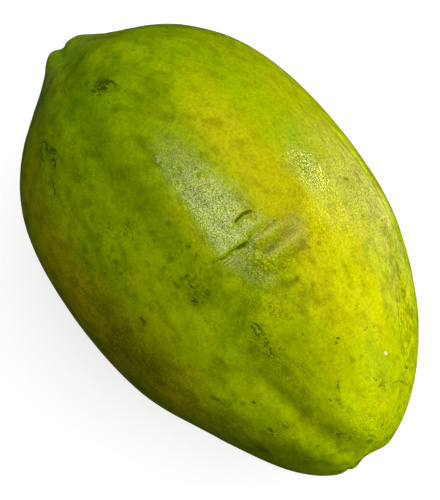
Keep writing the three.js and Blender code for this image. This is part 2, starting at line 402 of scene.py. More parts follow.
# What the patches add to each of the numbers that the rind's material reads.
LAYERS = {
    # Ripeness runs from 0, deep green, to 1, full yellow.
    "ripeness": patches(
        # The stem end and its shoulders.
        (-72, -56, 24, 16, 0.22), (-62, -20, 12, 8, -0.08), (-103, 48, 8, 40, 0.28), (-80, -2, 8, 7, 0.2),
        (-89, -31, 6, 9, 0.22), (-82, -22, 7, 7, 0.18), (-78, 10, 10, 5, 0.14),
        # The shaded side.
        (-45, -62, 22, 9, 0.14), (-5, -70, 50, 17, 0.5), (36, -54, 22, 8, 0.14), (-40, -12, 12, 6, 0.12),
        (-38, -44, 8, 12, 0.14), (-5, -19, 26, 4, -0.1), (2, -15, 15, 1.8, 0.16), (-10, -47, 12, 5, -0.15),
        (-23, -67, 16, 7, 0.38), (47, -67, 10, 6, 0.32), (64, -40, 4, 4, 0.16), (2, -27, 12, 3, -0.14),
        (26, -24, 6, 3, -0.12),
        # The sunny side.
        (0, 13, 44, 10, 0.44), (40, 34, 38, 32, 0.28), (66, 25, 16, 34, 0.12), (-25, 62, 50, 24, 0.3),
        (-50, 34, 26, 22, 0.16), (-45, 8, 30, 10, 0.12), (-50, 8, 15, 4, -0.15), (-47, 32, 5, 3, -0.2),
        (48, 5, 13, 6, 0.18), (74, 60, 16, 10, 0.14), (-45, 23, 8, 4, 0.14), (-56, 64, 8, 8, 0.16),
        (-30, 38, 12, 6, -0.08), (48, -9, 6, 5, 0.14), (-25, 19, 22, 5, 0.12), (1, 36, 12, 6, -0.12),
        # The blossom end.
        (80, 17, 9, 9, -0.16), (84, 10, 22, 22, 0.12), (93, -55, 8, 6, -0.2), (97, 40, 8, 24, 0.12),
        (85, -47, 5, 5, 0.12),
        # The back and the underside.
        (-20, 130, 45, 26, 0.22), (45, 165, 38, 24, 0.36), (15, -140, 60, 32, 0.42),
    ),
    # How much lighter, above zero, or darker the rind is painted than its ripeness makes it. Some of this is
    # the skin's own uneven colour, and much of it is painted light and shade: painted shade along the
    # grooves, on the shaded side, under the ridges and at the ends, and painted sheen and highlight on the
    # sunny side and along the ridges.
    "lightness_and_painted_light": patches(
        # The stem end and its shoulders.
        (-102, -20, 9, 40, 0.25), (-98, -38, 8, 14, 0.4), (-88, -46, 13, 9, -0.3), (-100, 60, 6, 20, 0.15),
        (-107, 50, 4, 40, -0.18), (-78, 50, 6, 14, -0.12), (-79, 11, 12, 10, 0.14), (-75, 13, 5, 4, 0.3),
        (-77, -3, 6, 4, 0.33), (-79, -15, 11, 5, -0.32), (-66, -42, 12, 4, -0.2), (-60, -55, 40, 16, -0.16),
        (-60, -54, 8, 4, -0.16), (-67, -20, 3, 4, 0.3), (-65, 30, 5, 5, 0.18), (-86, -28, 5, 6, 0.18),
        (-60, -31, 8, 4, 0.14),
        # The shaded side.
        (-50, -35, 6, 3, -0.2), (-53, -17, 7, 4, -0.18), (0, -20, 70, 6, -0.16), (-30, -25, 28, 3, -0.16),
        (-19, -13.5, 8, 3, 0.3), (8, -17, 3, 3, 0.28), (18, -12, 2, 3, 0.2), (-40, -49, 12, 5, 0.34),
        (-41, -58, 11, 5, 0.26), (-21, -46, 6, 5, 0.28), (0, -45, 9, 5, 0.34), (-8, -56, 3, 4, 0.28),
        (-8, -64, 10, 5, 0.26), (3, -57, 4, 4, -0.22), (12, -61, 30, 9, -0.3), (26, -66, 16, 5, -0.18),
        (30, -78, 60, 10, -0.22), (30, -54, 6, 4, -0.2), (15, -52, 60, 10, 0.08), (55, -60, 8, 8, 0.48),
        (60, -48, 12, 6, 0.32), (66, -54, 6, 5, 0.16), (65, -65, 4, 4, -0.22), (46, -69, 4, 4, 0.25),
        (45, -31, 5, 3, 0.22), (36, -34, 14, 5, 0.1), (22, -32, 10, 2, 0.2), (27, -25, 5, 2, -0.18),
        (26, -29, 3, 2, -0.25), (17, -48, 3, 2, -0.25), (56, -34, 5, 4, -0.3), (58, -21, 3, 3, -0.2),
        (70, -30.5, 9, 2.5, -0.26), (43, -13, 12, 5, 0.22), (22, -40, 10, 4, 0.15), (-22, -36, 12, 4, 0.16),
        (-25, -64, 14, 6, 0.18), (-2, -66, 12, 5, 0.14), (-25, -21, 55, 4, -0.12), (45, -45, 34, 16, 0.08),
        (-12, -50, 8, 6, -0.16), (72, -20, 8, 4, -0.1),
        # The sunny side.
        (-54, 17, 4, 5, 0.2), (-38, 4, 6, 3, 0.24), (-22, 22, 8, 4, -0.13), (-20, 2, 60, 6, -0.05),
        (-20, -4, 12, 5, -0.18), (62, 18, 20, 14, 0.12), (65, 45, 18, 10, 0.1), (72, 36, 7, 6, 0.25),
        (74.5, 61.5, 2, 5, -0.32), (44, 70, 5, 5, 0.2), (11, 61, 20, 8, 0.26), (-15, 47, 20, 5, 0.22),
        (-35, 45, 35, 20, -0.1), (-25, 79, 20, 5, 0.25), (-50, 64, 14, 8, 0.12), (13, 30, 9, 4, 0.36),
        (31, 26, 13, 8, 0.26), (32, 10, 6, 5, -0.26), (21, 13, 3, 4, -0.2), (41, -3, 3, 2.5, -0.3),
        (10, 63, 70, 14, 0.18), (74, 52, 22, 18, 0.1), (57, 8, 7, 4, 0.14), (-5, 55, 9, 5, -0.14),
        (12, -4, 3, 4, -0.14),
        # The blossom end.
        (75, -60, 5, 4, 0.22), (80, -19, 24, 5, 0.24), (88, -27, 5, 4, 0.32), (89, -20, 8, 6, 0.15),
        (81, -42, 7, 3, -0.28), (86, -51, 3, 5, 0.22), (94, -43, 3, 4, 0.22), (100, -52, 4, 5, 0.2),
        (90, -68, 26, 8, -0.3), (91, -56, 13, 6, -0.4), (96, -34, 4, 4, -0.2), (101, -20, 4, 5, -0.2),
        (106, -40, 3, 20, 0.2), (91, -9, 12, 6, 0.44), (95, 7, 12, 18, 0.18), (94, 30, 10, 12, 0.1),
        (99, -2, 9, 20, 0.14), (95, -21, 5, 4, -0.18),
    ),
    # Where dark freckles crowd together.
    "speckle": patches(
        (94, 15, 14, 34, 0.9), (103, -22, 5, 14, 1.2), (-62, -44, 14, 8, 0.8), (-52, -10, 20, 8, 0.5),
        (-12, -42, 20, 12, 0.7), (20, -26, 20, 8, 1.2), (56, -22, 18, 6, 1), (55, 15, 22, 16, 0.5),
        (75, -48, 20, 8, 0.6), (20, 120, 60, 30, 0.5), (-30, -120, 50, 30, 0.5),
    ),
    # Where the skin is bruised, and where it is scraped.
    "bruise": patches(
        (25, 13, 4, 6, 0.8), (31, 12, 6, 5, 0.6), (28, 1, 9, 7, 0.35),
    ),
    "scrape": patches(
        (30, -8.5, 6, 3.4, 1), (24, -10, 3, 3, 0.6), (37, -4, 5, 4, 0.5), (18.5, 4, 3, 5, 0.5),
    ),
    # Where healed skin is crackled with hair-thin broken lines.
    "crackle": patches(
        (49, -19, 5, 3.5, 1), (57, -21.5, 5, 3, 0.8), (24, -25, 4, 3, 0.9), (17.8, -25.5, 3, 2.5, 0.8),
        (40, -16, 3, 2, 0.8), (46, -9, 5, 3, 0.5), (-59.5, -40, 3, 2.5, 0.9), (-54, -42, 3, 2.5, 0.9),
        (-64.5, -44.5, 3.5, 3, 0.9), (-49, -47, 4, 2.5, 0.9), (-41.5, -36, 2.5, 2.5, 0.9),
        (-28, -20.6, 2.5, 2.5, 0.6), (-12.8, -30.5, 3, 2.5, 1), (-18, -36.6, 3.5, 2.5, 0.6),
        (-47, -33.6, 3, 2, 0.5), (-48, -24, 2, 2, 0.5), (-66, -8.5, 5, 3, 1), (91, 21, 6, 9, 0.6),
        (102, 4, 5, 10, 0.6), (103, -11, 5, 8, 0.6), (93, -17, 6, 5, 0.5), (97, -28, 6, 5, 0.6),
        (79, -50, 5, 4, 0.8), (81, -43.5, 3, 3, 0.8), (60, 8, 14, 10, 0.3), (35, 3, 8, 8, 0.4),
        (30, -6, 7, 4, 0.5), (70, -10, 9, 6, 0.3), (40, 55, 40, 12, 0.35), (30, 125, 40, 25, 0.3),
        (-25, -120, 40, 25, 0.3),
    ),
    # Where the skin is streaked along the fruit.
    "streak": patches(
        (15, 59, 60, 15, 1), (78, 55, 25, 16, 0.9), (-70, 60, 22, 14, 0.5), (-97, 20, 9, 40, 0.4),
        (20, 95, 70, 18, 0.4),
    ),
    # Where fine wrinkles make the skin look grainy.
    "grain": patches(
        (64, -25, 16, 5, 0.5), (31, -7.5, 7, 5, 0.6), (30, 24, 16, 10, 0.3), (9, 29.5, 9, 5, 0.8),
        (28, 5, 15, 14, 0.5), (2, -4, 34, 8, 0.35), (24, 48, 34, 22, 0.7), (98, -8, 10, 40, 0.4),
        (20, -62, 70, 12, 0.8), (30, 140, 50, 30, 0.2), (49, -19, 5, 4, 0.5), (56, -21, 6, 4, 0.4),
        (22, -26, 5, 4, 0.5), (39, -16, 4, 3, 0.7), (48, -9, 6, 4, 0.5), (-42, -36, 3, 3, 0.7),
        (-28, -21, 3, 3, 0.5), (-18, -36, 4, 3, 0.5), (-13, -31, 3, 3, 0.5),
    ),
    # Where a dull bloom lies on the skin.
    "bloom": patches(
        (-92, -48, 14, 16, 0.9), (-100, 10, 10, 50, 0.6), (-70, 60, 20, 14, 0.4),
    ),
    # Where the wax is worn away.
    "wax": patches(
        (35, 4, 9, 11, -1.1), (32, -8, 7, 6, -0.9),
    ),
    # Where the clouds of darker green fade out of the skin.
    "clouds": patches(
        (-10, 42, 60, 26, -0.6), (85, 5, 24, 24, -0.5), (10, 20, 26, 10, -0.3), (-15, -19, 60, 5, -0.6),
        (-88, 5, 16, 20, -0.4),
    ),
}


@dataclass(frozen=True)
class Waves:
    """Uneven waves in the rind.

    Attributes:
        size: their width, in millimetres.
        rise: how high and how deep they go, in millimetres.
        stretch: how many times longer they are along the fruit than around it.
        everywhere: the share of that rise that they have all over.
        more: where they have more of it.
    """

    size: float
    rise: float
    stretch: float
    everywhere: float
    more: tuple[Patch, ...]

    def over(self, points: np.ndarray, places: Places) -> np.ndarray:
        """How high the waves are at each point.

        Args:
            points: the points, in millimetres.
            places: their stations and angles.

        Returns:
            Heights in millimetres, below zero in a hollow.
        """
        share = np.clip(self.everywhere + added(self.more, places), 0.0, 1.0)
        scaled = points / (self.size * np.array([self.stretch, 1.0, 1.0]))
        heights = np.zeros(len(points))
        for i in np.flatnonzero(share > LEAST_SHARE):
            heights[i] = noise.noise(scaled[i])
        return self.rise * share * heights


# Where the skin stands higher than the solid, in millimetres.
SWELLS = patches((84, -22, 16, 10, 0.7), (94, -26, 8, 7, 0.3))
WAVES = (
    Waves(2.4, 0.3, 1, 0, patches((90, 21, 6, 10, 1), (103, 0, 6, 24, 1), (104, -30, 5, 16, 0.8))),
    Waves(6, 0.6, 1, 0, patches((98, 22, 7, 30, 1), (106, -25, 4, 20, 0.8))),
    Waves(9, 0.45, 1.4, 0.15, patches((22, 38, 26, 22, 1), (60, 60, 26, 16, 0.7), (95, 15, 16, 40, 0.6))),
    Waves(3.6, 0.36, 5, 0, patches((15, 62, 55, 18, 1), (-85, 0, 14, 80, 0.8), (92, 50, 14, 26, 0.8))),
)


@dataclass(frozen=True)
class Push:
    """A soft push of the rind, as a thumb gives clay.

    Attributes:
        centre: the point that is pushed, in millimetres.
        reach: how far around it the rind follows, in millimetres.
        shift: how far it is pushed along X, Y and Z, in millimetres.
    """

    centre: tuple[float, float, float]
    reach: float
    shift: tuple[float, float, float]

    def over(self, points: np.ndarray) -> np.ndarray:
        """How far each point moves."""
        away = np.linalg.norm(points - np.array(self.centre), axis=1)
        return bell(away, self.reach)[:, None] * np.array(self.shift)


PUSHES = (
    # The stem end is broad, with a nick between two of its lobes.
    Push((-108, -13, 75), 10, (-0.3, -0.3, 0)),
    Push((-106, 11, 78), 14, (-0.1, 0.3, 0.1)),
    Push((-110, -9, 75), 3.4, (-1.2, -0.1, 0.6)),
    Push((-108.5, -13, 72), 4, (-0.5, -0.6, 0.2)),
    Push((-109.3, -3.8, 77), 1.5, (2.2, 0.1, -1.4)),
    # The tip is a small nub between two fuller shoulders.
    Push((110, -8, 68), 5.5, (-1.8, -1, 0)),
    Push((108, 1, 64), 6.5, (1.8, 0.8, 0)),
    Push((106.5, -20, 68), 5, (-1.4, 0.9, 0)),
    # The flanks are a little fuller or slimmer than the solid.
    Push((-60, -59, 60), 22, (-0.4, -0.9, 0)),
    Push((-85, 33, 93), 20, (-0.5, 0.4, 0.4)),
    Push((-60, 56, 88), 16, (-0.3, 0.5, 0.2)),
    Push((91, 34, 66), 14, (-0.6, -0.6, 0)),
    Push((71, -45, 44), 20, (0.3, -0.7, -0.2)),
    Push((33, 58, 94), 18, (0.1, 0.6, 0.2)),
    Push((-87, -32, 85), 9, (0.5, 0.4, 0)),
)


class Surface:
    """Finds places on the finished form of the fruit."""

    def __init__(self, mould: bpy.types.Object) -> None:
        """Reads the mould.

        Args:
            mould: the smooth form of the whole fruit.
        """
        self.tree = BVHTree.FromObject(mould, bpy.context.evaluated_depsgraph_get())
        low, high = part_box(NODE)
        self.axis_height = (low.z + high.z) / 2 / MM

    def at(self, place: Place) -> np.ndarray:
        """Finds the point of the rind at a place.

        Args:
            place: its station and its angle.

        Returns:
            The point, in millimetres.
        """
        angle = math.radians(place[1])
        start = Vector((place[0], 0.0, self.axis_height)) * MM
        point = self.tree.ray_cast(start, Vector((0.0, math.sin(angle), math.cos(angle))))[0]
        return np.array(point) / MM

    def places_of(self, points: np.ndarray) -> Places:
        """The station and the angle of each point."""
        return points[:, 0], np.degrees(np.arctan2(points[:, 1], points[:, 2] - self.axis_height))


@dataclass
class Line:
    """A mark's line on the rind, with its corners rounded.

    Attributes:
        points: its points, in millimetres.
        rounds: how many times its corners are cut.
        corner: the share of a step that a cut takes off at each of its ends.
    """

    points: np.ndarray
    rounds: int = 2
    corner: float = 0.25

    def __post_init__(self) -> None:
        """Rounds the corners by cutting them."""
        for _ in range(self.rounds):
            steps = self.corner * np.diff(self.points, axis=0)
            cut = np.stack([self.points[:-1] + steps, self.points[1:] - steps], axis=1).reshape(-1, 3)
            self.points = np.concatenate([self.points[:1], cut, self.points[-1:]])

    def close(self, points: np.ndarray, reach: float) -> np.ndarray:
        """Which points are in the box around the line, grown by reach."""
        low, high = self.points.min(axis=0) - reach, self.points.max(axis=0) + reach
        return np.flatnonzero(np.all((points > low) & (points < high), axis=1))

    def measure(self, near: np.ndarray, normals: np.ndarray) -> tuple[np.ndarray, np.ndarray]:
        """Measures points against the line.

        Args:
            near: the points to measure, in millimetres.
            normals: the rind's normal at each of them.

        Returns:
            Each point's distance from the line, above zero on the far side of it, and how far along the
            line its nearest point is, as a share from 0 to 1.
        """
        steps = np.diff(self.points, axis=0)
        lengths = np.linalg.norm(steps, axis=1)
        starts = np.concatenate([[0.0], np.cumsum(lengths)])
        best = np.full(len(near), np.inf)
        signed = np.full(len(near), np.inf)
        along = np.zeros(len(near))
        for i, step in enumerate(steps):
            offset = near - self.points[i]
            share = np.clip(offset @ step / lengths[i] ** 2, 0.0, 1.0)
            away = offset - share[:, None] * step
            distance = np.linalg.norm(away, axis=1)
            side = np.sign(np.einsum("ij,ij->i", np.cross(step, normals), away))
            closer = distance < best
            best = np.where(closer, distance, best)
            signed = np.where(closer, distance * side, signed)
            along = np.where(closer, (starts[i] + share * lengths[i]) / starts[-1], along)
        return signed, along


# ---- The rind's mesh ----


@dataclass(frozen=True)
class Footprint:
    """Where a mark is on the rind.

    Attributes:
        cut: how the mark shapes and stains the rind.
        close: the indices of the points near it.
        distance: how far each of them is from its line, in millimetres, above zero on the far side of it.
        strength: how strong the mark is beside each of them. A long one fades out towards its ends.
    """

    cut: Cut
    close: np.ndarray
    distance: np.ndarray
    strength: np.ndarray


@dataclass
class Rind:
    """The whole skin of the papaya, as one closed mesh.

    Attributes:
        merge_distance: points of the solid closer than this are one, in metres.
        quad_angle: how far apart two triangles may face and still make a quad, in degrees.
        mould_levels: how finely the form that the rind is fitted to is smoothed.
        rind_levels: how finely the rind itself is smoothed before its marks are refined.
        fine_cut: a mark whose steeper slope is narrower than this has its mesh refined, in millimetres.
        fine_margins: how far around such a mark the mesh is refined, in millimetres, for each pass.
        floor_fade: the heights above the floor between which the relief fades in, in millimetres.
        lip_offset: how far from its line a mark's lip stands, in widths of its near slope.
        end_strength: how strong a long mark is at its ends, as a share of its strength in the middle.
        most_stain: the strength past which a mark stains the skin no more.
        grain_reach: how many times wider the grainy skin beside a mark is than its stain.
        piece: the rind.
        surface: where its places are.
        lines: the marks and their lines.
    """

    merge_distance: float = 1e-5
    quad_angle: float = 60.0
    mould_levels: int = 3
    rind_levels: int = 2
    fine_cut: float = 2.0
    fine_margins: tuple[float, ...] = (2.6, 1.3, 0.5)
    floor_fade: tuple[float, float] = (0.2, 6.0)
    lip_offset: float = 2.2
    end_strength: float = 0.25
    most_stain: float = 1.1
    grain_reach: float = 3.0
    piece: bpy.types.Object = field(init=False)
    surface: Surface = field(init=False)
    lines: list[tuple[Mark, Line]] = field(init=False)

    def build(self) -> bpy.types.Object:
        """Builds the rind and stores what its material reads.

        Returns:
            The finished piece.
        """
        mould = self.smooth_copy("mould", self.mould_levels)
        self.surface = Surface(mould)
        self.piece = self.smooth_copy("papaya_rind", self.rind_levels)
        self.lines = [(mark, Line(np.array([self.surface.at(p) for p in mark.route]))) for mark in MARKS]
        for margin in self.fine_margins:
            self.refine(margin)
        apply_modifier(self.piece, "SHRINKWRAP", target=mould, wrap_method="NEAREST_SURFACEPOINT")
        bpy.data.objects.remove(mould)
        points = vectors(self.piece.data.vertices, "co") / MM
        places = self.surface.places_of(points)
        footprints = self.footprints(points)
        self.paint(places, footprints)
        self.shape(points, places, footprints)
        self.push()
        make_active(self.piece)
        bpy.ops.object.shade_smooth()
        return self.piece

    def smooth_copy(self, name: str, levels: int) -> bpy.types.Object:
        """Copies the solid, merges its loose triangles to quads, and smooths it.

        Args:
            name: the copy's name.
            levels: how many times it is smoothed.

        Returns:
            The copy.
        """
        copy = bpy.data.objects.new(name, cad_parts[NODE].data.copy())
        copy.data.materials.clear()
        bpy.context.scene.collection.objects.link(copy)
        make_active(copy)
        angle = math.radians(self.quad_angle)
        bpy.ops.object.mode_set(mode="EDIT")
        bpy.ops.mesh.select_all(action="SELECT")
        bpy.ops.mesh.remove_doubles(threshold=self.merge_distance)
        bpy.ops.mesh.tris_convert_to_quads(face_threshold=angle, shape_threshold=angle)
        bpy.ops.mesh.normals_make_consistent(inside=False)
        bpy.ops.object.mode_set(mode="OBJECT")
        apply_modifier(copy, "SUBSURF", levels=levels, render_levels=levels)
        return copy

    def refine(self, margin: float) -> None:
        """Splits the faces near the fine marks, so that a thin crack has faces of its own.

        Args:
            margin: how far around each mark the faces are split, in millimetres.
        """
        mesh = self.piece.data
        centres = vectors(mesh.polygons, "center") / MM
        chosen = np.zeros(len(centres), bool)
        for mark, line in self.lines:
            cut = mark.kind.value
            if min(cut.near, cut.far) >= self.fine_cut:
                continue
            reach = margin + cut.widest / 2
            close = line.close(centres, reach)
            normals = centres[close] - np.array([0.0, 0.0, self.surface.axis_height])
            distance, _ = line.measure(centres[close], normals)
            chosen[close] |= np.abs(distance) < reach
        make_active(self.piece)
        bpy.ops.object.mode_set(mode="EDIT")
        bpy.ops.mesh.select_mode(type="FACE")
        bpy.ops.mesh.select_all(action="DESELECT")
        bpy.ops.object.mode_set(mode="OBJECT")
        mesh.polygons.foreach_set("select", chosen)
        bpy.ops.object.mode_set(mode="EDIT")
        bpy.ops.mesh.subdivide(number_cuts=1)
        bpy.ops.object.mode_set(mode="OBJECT")

    def footprints(self, points: np.ndarray) -> list[Footprint]:
        """Measures the points near each mark.

        Args:
            points: the rind's points, in millimetres.

        Returns:
            Where each mark is on the rind.
        """
        normals = vectors(self.piece.data.vertex_normals, "vector")
        found = []
        for mark, line in self.lines:
            cut = mark.kind.value
            close = line.close(points, 2.0 * self.grain_reach * max(cut.widest, cut.stain_width))
            distance, along = line.measure(points[close], normals[close])
            taper = np.clip(4.0 * along * (1.0 - along), 0.0, 1.0) ** 0.5
            ends = 1.0 if len(mark.route) == 2 else self.end_strength
            found.append(Footprint(cut, close, distance, mark.strength * (ends + (1.0 - ends) * taper)))
        return found

    def shape(self, points: np.ndarray, places: Places, footprints: list[Footprint]) -> None:
        """Gives the rind its waves, and presses the marks in or raises them.

        Args:
            points: the rind's points, in millimetres.
            places: their stations and angles.
            footprints: where the marks are.
        """
        relief = added(SWELLS, places) + sum(waves.over(points, places) for waves in WAVES)
        relief *= smoothstep(points[:, 2], *self.floor_fade)
        for mark in footprints:
            cut, distance = mark.cut, mark.distance
            pressed = cut.press * bell(distance, np.where(distance < 0.0, cut.near, cut.far))
            lip = cut.lip * bell(distance + self.lip_offset * cut.near, cut.near)
            relief[mark.close] += (lip - pressed) * mark.strength
        for name, sign in (("pressed_in", -1.0), ("raised", 1.0)):
            rise = np.maximum(sign * relief, 0.0)
            highest = float(rise.max())
            write_group(self.piece, name, rise / highest)
            strength = sign * highest * MM
            apply_modifier(self.piece, "DISPLACE", strength=strength, mid_level=0.0, vertex_group=name)

    def paint(self, places: Places, footprints: list[Footprint]) -> None:
        """Stores how ripe, how light or dark, bruised, scraped and scarred the rind is at each vertex, with
        its painted light and shade and the painted glints and shadows of its marks.

        Args:
            places: the stations and angles of its points.
            footprints: where the marks are.
        """
        layers = {name: added(group, places) for name, group in LAYERS.items()}
        layers["ripeness"] += RIPENESS_AT_STEM + RIPENESS_GAIN * smoothstep(places[0], *RIPENING_SPAN)
        for name in ("lightness_and_painted_light", "wax", "clouds"):
            layers[name] += 1.0
        for name in ("cork_and_cut_shadow", "line_bruise", "pale", "painted_glint"):
            layers[name] = np.zeros(len(places[0]))
        for mark in footprints:
            cut, close = mark.cut, mark.close
            strength = np.minimum(mark.strength, self.most_stain)
            stain = strength * bell(mark.distance, cut.stain_width)
            # Painted shade along grooves and painted light along ridges.
            layers["lightness_and_painted_light"][close] += cut.shade * stain
            layers["wax"][close] -= cut.cork_and_cut_shadow * stain
            stains = {
                "cork_and_cut_shadow": cut.cork_and_cut_shadow * stain,
                "line_bruise": cut.bruise * stain,
                "pale": cut.pale * stain,
                "painted_glint": cut.painted_glint * stain,
                "grain": cut.grain * strength * bell(mark.distance, self.grain_reach * cut.stain_width),
            }
            for name, amount in stains.items():
                layers[name][close] = np.maximum(layers[name][close], amount)
        for name, values in layers.items():
            attribute = self.piece.data.attributes.new(name, "FLOAT", "POINT")
            attribute.data.foreach_set("value", values.astype(np.float32))

    def push(self) -> None:
        """Pushes the two ends and the flanks into their final form."""
        points = vectors(self.piece.data.vertices, "co") / MM
        points += sum(push.over(points) for push in PUSHES)
        self.piece.data.vertices.foreach_set("co", (points * MM).astype(np.float32).ravel())
        self.piece.data.update()


# ---- Materials ----


class Nodes:
    """The nodes of one material, lamp or room."""

    def __init__(self, owner: bpy.types.ID) -> None:
        """Turns the owner's nodes on and empties them.

        Args:
            owner: the material, the lamp or the world that they belong to.
        """
        owner.use_nodes = True
        self.tree = owner.node_tree
        self.tree.nodes.clear()

    def add(
        self, kind: str, inputs: dict | None = None, out: int | str = 0, **settings: object
    ) -> Socket | None:
        """Adds a node with its settings and its links.

        Args:
            kind: the node's type, without the word ShaderNode in front.
            inputs: for each input, by name or number, either its value or the output that feeds it.
            out: the output that is wanted, by name or number.
            settings: the node's own settings.

        Returns:
            That output, or nothing from a node that has none.
        """
        node = self.tree.nodes.new(f"ShaderNode{kind}")
        for name, value in settings.items():
            setattr(node, name, value)
        for key, value in (inputs or {}).items():
            if isinstance(value, bpy.types.NodeSocket):
                self.tree.links.new(value, node.inputs[key])
            else:
                node.inputs[key].default_value = value
        return node.outputs[out] if len(node.outputs) else None


class Skin(Nodes):
    """The nodes of a material whose patterns follow the piece's own coordinates."""

    def __init__(self, owner: bpy.types.Material) -> None:
        """Adds the coordinates to the empty nodes."""
        super().__init__(owner)
        self.place = self.add("TexCoord", out="Object")


@dataclass(frozen=True)
class Cloud:
    """A cloudy pattern.

    Attributes:
        size: how large its spots are, in millimetres.
        detail: how many finer layers they have.
        stretch: how many times longer they are along the fruit than across it.
    """

    size: float
    detail: float
    stretch: float

    def noise(self, skin: Skin) -> Socket:
        """Adds the pattern to a skin, as a number that is about 0.5 on average."""
        place = skin.add("Mapping", {"Vector": skin.place, "Scale": (1 / self.stretch, 1, 1)})
        return skin.add("TexNoise", {"Vector": place, "Scale": 1 / (self.size * MM), "Detail": self.detail})


@dataclass(frozen=True)
class Mottle(Cloud):
    """Cloudy spots of another colour in a skin.

    Attributes:
        edge: the noise values between which a spot fades in.
        tint: the colour that the skin is multiplied by in a spot.
        attribute: the name of the mesh's own numbers that say where the spots show, or nothing for
            everywhere.
    """

    edge: tuple[float, float]
    tint: str
    attribute: str = ""

    def lay(self, skin: Skin, under: Socket) -> Socket:
        """Lays the spots over a colour.

        Args:
            skin: the material's nodes.
            under: the colour without the spots.

        Returns:
            The colour with them.
        """
        inputs = {"Value": self.noise(skin), "From Min": self.edge[0], "From Max": self.edge[1]}
        spots = skin.add("MapRange", inputs, interpolation_type="SMOOTHSTEP")
        if self.attribute:
            where = skin.add("Attribute", out="Fac", attribute_name=self.attribute)
            spots = skin.add("Math", {0: spots, 1: where}, operation="MULTIPLY", use_clamp=True)
        inputs = {"Factor": spots, "A": under, "B": linear(self.tint)}
        return skin.add("Mix", inputs, "Result", data_type="RGBA", blend_type="MULTIPLY")


@dataclass(frozen=True)
class Stain:
    """A colour that the mesh's own numbers call for.

    Attributes:
        attribute: the name of those numbers.
        amount: how strong the colour is where it is strongest.
        colour: the colour.
        edge: the numbers between which it fades in.
        ragged: how far the skin's grain breaks it up.
    """

    attribute: str
    amount: float
    colour: str
    edge: tuple[float, float]
    ragged: float

    def lay(self, skin: Skin, grain: Socket, under: Socket) -> Socket:
        """Lays the stain over a colour.

        Args:
            skin: the material's nodes.
            grain: the noise that makes its edge ragged.
            under: the colour without the stain.

        Returns:
            The colour with it.
        """
        where = skin.add("Attribute", out="Fac", attribute_name=self.attribute)
        inputs = {0: grain, 1: self.ragged, 2: 1 - self.ragged / 2}
        ragged = skin.add("Math", inputs, operation="MULTIPLY_ADD")
        ragged = skin.add("Math", {0: where, 1: ragged}, operation="MULTIPLY")
        low, high = self.edge
        inputs = {"Value": ragged, "From Min": low, "From Max": high, "To Max": self.amount}
        share = skin.add("MapRange", inputs, interpolation_type="SMOOTHSTEP")
        inputs = {"Factor": share, "A": under, "B": linear(self.colour)}
        return skin.add("Mix", inputs, "Result", data_type="RGBA")


@dataclass(frozen=True)
class Freckles:
    """Small dark freckles.

    Attributes:
        spacing: how far apart they are, in millimetres.
        width: how wide one is, in millimetres.
        tint: the colour that the skin is multiplied by in one.
        soft: the shares of its half width between which it fades out.
    """

    spacing: float
    width: float
    tint: str
    soft: tuple[float, float] = (0.6, 1.4)

    def lay(self, skin: Skin, drifts: Socket, under: Socket) -> Socket:
        """Lays the freckles over a colour.

        Args:
            skin: the material's nodes.
            drifts: where they show, from 0 to 1.
            under: the colour without them.

        Returns:
            The colour with them.
        """
        away = skin.add("TexVoronoi", {"Vector": skin.place, "Scale": 1 / (self.spacing * MM)}, "Distance")
        full, gone = (share * self.width / self.spacing / 2 for share in self.soft)
        inputs = {"Value": away, "From Min": gone, "From Max": full}
        dots = skin.add("MapRange", inputs, interpolation_type="SMOOTHSTEP")
        share = skin.add("Math", {0: dots, 1: drifts}, operation="MULTIPLY")
        inputs = {"Factor": share, "A": under, "B": linear(self.tint)}
        return skin.add("Mix", inputs, "Result", data_type="RGBA", blend_type="MULTIPLY")


@dataclass(frozen=True)
class Crackle:
    """Hair-thin broken cracks that wander round in small loops, as on healed skin.

    Attributes:
        loops: the pattern whose middle line the cracks follow.
        gaps: the pattern that breaks them.
        gap_edge: the values of that pattern between which a crack fades in.
        width: the half width of a crack, as a share of a loop.
        core: the share of that half width in which it is darkest.
        tint: the colour that the skin is multiplied by in one.
    """

    loops: Cloud = Cloud(2.4, 1, 1)
    gaps: Cloud = Cloud(0.8, 1, 1)
    gap_edge: tuple[float, float] = (0.42, 0.54)
    width: float = 0.05
    core: float = 0.4
    tint: str = "#8a9058"

    def lay(self, skin: Skin, under: Socket) -> Socket:
        """Lays the cracks over a colour.

        Args:
            skin: the material's nodes.
            under: the colour without the cracks.

        Returns:
            The colour with them.
        """
        away = skin.add("Math", {0: self.loops.noise(skin), 1: 0.5}, operation="SUBTRACT")
        away = skin.add("Math", {0: away}, operation="ABSOLUTE")
        inputs = {"Value": away, "From Min": self.width, "From Max": self.core * self.width}
        crack = skin.add("MapRange", inputs, interpolation_type="SMOOTHSTEP")
        inputs = {"Value": self.gaps.noise(skin), "From Min": self.gap_edge[0], "From Max": self.gap_edge[1]}
        broken = skin.add("MapRange", inputs, interpolation_type="SMOOTHSTEP")
        share = skin.add("Math", {0: crack, 1: broken}, operation="MULTIPLY")
        where = skin.add("Attribute", out="Fac", attribute_name="crackle")
        share = skin.add("Math", {0: share, 1: where}, operation="MULTIPLY", use_clamp=True)
        inputs = {"Factor": share, "A": under, "B": linear(self.tint)}
        return skin.add("Mix", inputs, "Result", data_type="RGBA", blend_type="MULTIPLY")


